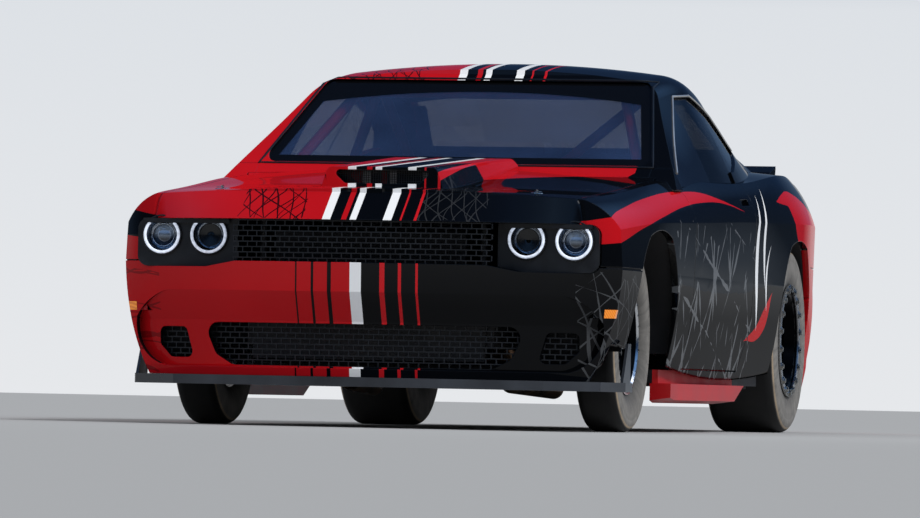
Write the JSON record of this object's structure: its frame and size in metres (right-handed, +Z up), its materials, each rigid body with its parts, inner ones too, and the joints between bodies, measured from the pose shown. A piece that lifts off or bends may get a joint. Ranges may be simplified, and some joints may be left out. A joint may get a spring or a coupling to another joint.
{
  "type": "drag racing car",
  "caption": "Two-door coupe prepared for drag racing, with slick rear tyres, a scooped hood, a roll cage, opening doors, hood and deck lid, steering and turning wheels.",
  "frame": {"origin": "bottom centre of the bounding box, on the ground under the middle of the car", "axes": "+X the car's left, +Y rearward along the car, +Z up"},
  "size_m": [1.9286, 5.1296, 1.4599],
  "materials": {
    "body_paint": "gloss black paint",
    "black_paint": "gloss black paint",
    "red_paint": "gloss deep red paint",
    "split_paint": "gloss paint split red and black along the centreline",
    "skirt_red": "gloss red",
    "amber": "amber lens",
    "glass": "tinted glass",
    "black_plastic": "satin black",
    "lamp_glass": "clear lamp",
    "lamp_red": "red lens",
    "chassis_black": "satin black",
    "cage_red": "gloss red tube",
    "seat_cloth": "black cloth",
    "cockpit_black": "satin black",
    "tyre": "dusty black rubber",
    "rim": "polished",
    "steel": "bare steel",
    "cast": "cast",
    "exhaust": "heat-tinted steel",
    "alloy": "plain alloy"
  },
  "bodies": {
    "car": {"body_shell": "body_paint", "dashboard": "black_plastic", "drivetrain": "cast", "engine": "cast", "exhaust": "exhaust", "fender_left": "black_paint", "fender_right": "red_paint", "fixed_glass": "glass", "floor_pan": "chassis_black", "frame_rails": "chassis_black", "front_bumper": "split_paint", "front_links": "steel", "fuel_cell": "alloy", "grilles": "black_plastic", "header_panel": "split_paint", "headlamps": "lamp_glass", "radiator": "alloy", "rear_axle": "steel", "rear_fascia": "split_paint", "rear_suspension": "steel", "roll_cage": "cage_red", "seat": "seat_cloth", "side_markers": "amber", "side_skirts": "skirt_red", "splitter": "black_plastic", "steering_column": "cockpit_black", "tail_lamps": "lamp_red", "wheel_tubs": "black_plastic"},
    "hood": {"hood": "split_paint"},
    "deck_lid": {"deck_lid": "split_paint"},
    "door_left": {"door_left": "black_paint", "door_glass_left": "glass"},
    "door_right": {"door_right": "red_paint", "door_glass_right": "glass"},
    "knuckle_left": {"knuckle_left": "steel"},
    "knuckle_right": {"knuckle_right": "steel"},
    "steering_wheel": {"steering_wheel": "cockpit_black"},
    "wheel_front_left": {"rim_front_left": "rim", "tyre_front_left": "tyre"},
    "wheel_front_right": {"rim_front_right": "rim", "tyre_front_right": "tyre"},
    "wheel_rear_left": {"rim_rear_left": "rim", "tyre_rear_left": "tyre"},
    "wheel_rear_right": {"rim_rear_right": "rim", "tyre_rear_right": "tyre"}
  },
  "joints": [
    {"name": "steer_left", "type": "hinge", "parent": "car", "child": "knuckle_left", "pos_m": [0.64, -1.565, 0.3555], "axis": [0, 0, 1], "range_deg": [-28, 28]},
    {"name": "steer_right", "type": "hinge", "parent": "car", "child": "knuckle_right", "pos_m": [-0.64, -1.565, 0.3555], "axis": [0, 0, 1], "range_deg": [-28, 28]},
    {"name": "steering_wheel_turn", "type": "hinge", "parent": "car", "child": "steering_wheel", "pos_m": [0.425, -0.635, 0.838], "axis": [0, -0.9272, -0.3746], "range_deg": [-378, 378]},
    {"name": "wheel_front_left_spin", "type": "hinge", "parent": "knuckle_left", "child": "wheel_front_left", "pos_m": [0.772, -1.565, 0.3555], "axis": [1, 0, 0], "continuous": true},
    {"name": "wheel_front_right_spin", "type": "hinge", "parent": "knuckle_right", "child": "wheel_front_right", "pos_m": [-0.772, -1.565, 0.3555], "axis": [1, 0, 0], "continuous": true},
    {"name": "wheel_rear_left_spin", "type": "hinge", "parent": "car", "child": "wheel_rear_left", "pos_m": [0.774, 1.381, 0.381], "axis": [1, 0, 0], "continuous": true},
    {"name": "wheel_rear_right_spin", "type": "hinge", "parent": "car", "child": "wheel_rear_right", "pos_m": [-0.774, 1.381, 0.381], "axis": [1, 0, 0], "continuous": true},
    {"name": "door_left_swing", "type": "hinge", "parent": "car", "child": "door_left", "pos_m": [0.954, -0.922, 0.6], "axis": [0, 0, -1], "range_deg": [0, 62]},
    {"name": "door_right_swing", "type": "hinge", "parent": "car", "child": "door_right", "pos_m": [-0.954, -0.922, 0.6], "axis": [0, 0, 1], "range_deg": [0, 62]},
    {"name": "hood_lift", "type": "hinge", "parent": "car", "child": "hood", "pos_m": [0, -0.943, 1.012], "axis": [-1, 0, 0], "range_deg": [0, 50]},
    {"name": "deck_lid_lift", "type": "hinge", "parent": "car", "child": "deck_lid", "pos_m": [0, 1.502, 1.118], "axis": [1, 0, 0], "range_deg": [0, 65]}
  ],
  "couplings": [
    {"joint": "steer_right", "follows": "steer_left", "ratio": 1},
    {"joint": "steering_wheel_turn", "follows": "steer_left", "ratio": -13}
  ]
}
